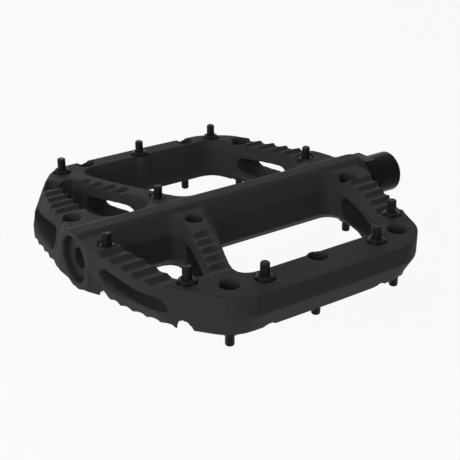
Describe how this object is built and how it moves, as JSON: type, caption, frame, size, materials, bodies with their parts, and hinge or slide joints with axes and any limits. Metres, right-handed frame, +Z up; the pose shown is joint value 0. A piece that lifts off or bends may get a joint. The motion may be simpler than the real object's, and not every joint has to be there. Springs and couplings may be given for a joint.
{
  "type": "flat pedal",
  "caption": "Bicycle platform pedal: a moulded frame with grip grooves and screwed traction pins on both faces, spinning on a stepped steel spindle",
  "frame": {"origin": "the crank seat: the centre of the spindle's shoulder that meets the crank arm, on the axle axis", "axes": "+X runs along the axle towards the crank, +Y is fore and aft across the platform, +Z is up out of the top face"},
  "size_m": [0.12, 0.115, 0.0224],
  "materials": {
    "platform_nylon": "black glass-filled nylon with a soft satin sheen",
    "spindle_steel": "black oxide on turned steel, satin",
    "pin_steel": "black oxide steel, slightly glossy",
    "cap_plastic": "dark grey moulded plastic, satin",
    "seal_rubber": "black nitrile rubber, dull",
    "bush_bronze": "sintered bronze, matt",
    "washer_acetal": "natural acetal, matt",
    "bearing_steel": "polished bearing steel",
    "cage_steel": "pressed steel, satin"
  },
  "bodies": {
    "spindle_group": {"spindle": "spindle_steel", "outer_bearing_inner_race": "bearing_steel", "inner_bearing_inner_race": "bearing_steel", "spindle_washer": "bearing_steel", "spindle_nut": "spindle_steel"},
    "platform": {"platform_body": "platform_nylon", "plain_bush": "bush_bronze", "thrust_washer": "washer_acetal", "dust_seal": "seal_rubber", "outer_bearing_outer_race": "bearing_steel", "inner_bearing_outer_race": "bearing_steel", "outer_bearing_seals": "seal_rubber", "inner_bearing_seals": "seal_rubber", "end_cap": "cap_plastic", "end_cap_ring": "seal_rubber", "pin_nuts_top": "pin_steel", "pin_nuts_bottom": "pin_steel", "pin_top_1": "pin_steel", "pin_top_2": "pin_steel", "pin_top_3": "pin_steel", "pin_top_4": "pin_steel", "pin_top_5": "pin_steel", "pin_top_6": "pin_steel", "pin_top_7": "pin_steel", "pin_top_8": "pin_steel", "pin_top_9": "pin_steel", "pin_top_10": "pin_steel", "pin_bottom_1": "pin_steel", "pin_bottom_2": "pin_steel", "pin_bottom_3": "pin_steel", "pin_bottom_4": "pin_steel", "pin_bottom_5": "pin_steel", "pin_bottom_6": "pin_steel", "pin_bottom_7": "pin_steel", "pin_bottom_8": "pin_steel", "pin_bottom_9": "pin_steel", "pin_bottom_10": "pin_steel"},
    "outer_ball_set": {"outer_bearing_balls": "bearing_steel", "outer_bearing_cage": "cage_steel"},
    "inner_ball_set": {"inner_bearing_balls": "bearing_steel", "inner_bearing_cage": "cage_steel"}
  },
  "joints": [
    {"name": "platform_spin", "type": "hinge", "parent": "spindle_group", "child": "platform", "pos_m": [0, 0, 0], "axis": [1, 0, 0], "continuous": true},
    {"name": "outer_ball_orbit", "type": "hinge", "parent": "spindle_group", "child": "outer_ball_set", "pos_m": [-0.0955, 0, 0], "axis": [1, 0, 0], "continuous": true},
    {"name": "inner_ball_orbit", "type": "hinge", "parent": "spindle_group", "child": "inner_ball_set", "pos_m": [-0.0905, 0, 0], "axis": [1, 0, 0], "continuous": true}
  ],
  "couplings": [
    {"joint": "outer_ball_orbit", "follows": "platform_spin", "ratio": 0.625},
    {"joint": "inner_ball_orbit", "follows": "platform_spin", "ratio": 0.625}
  ]
}
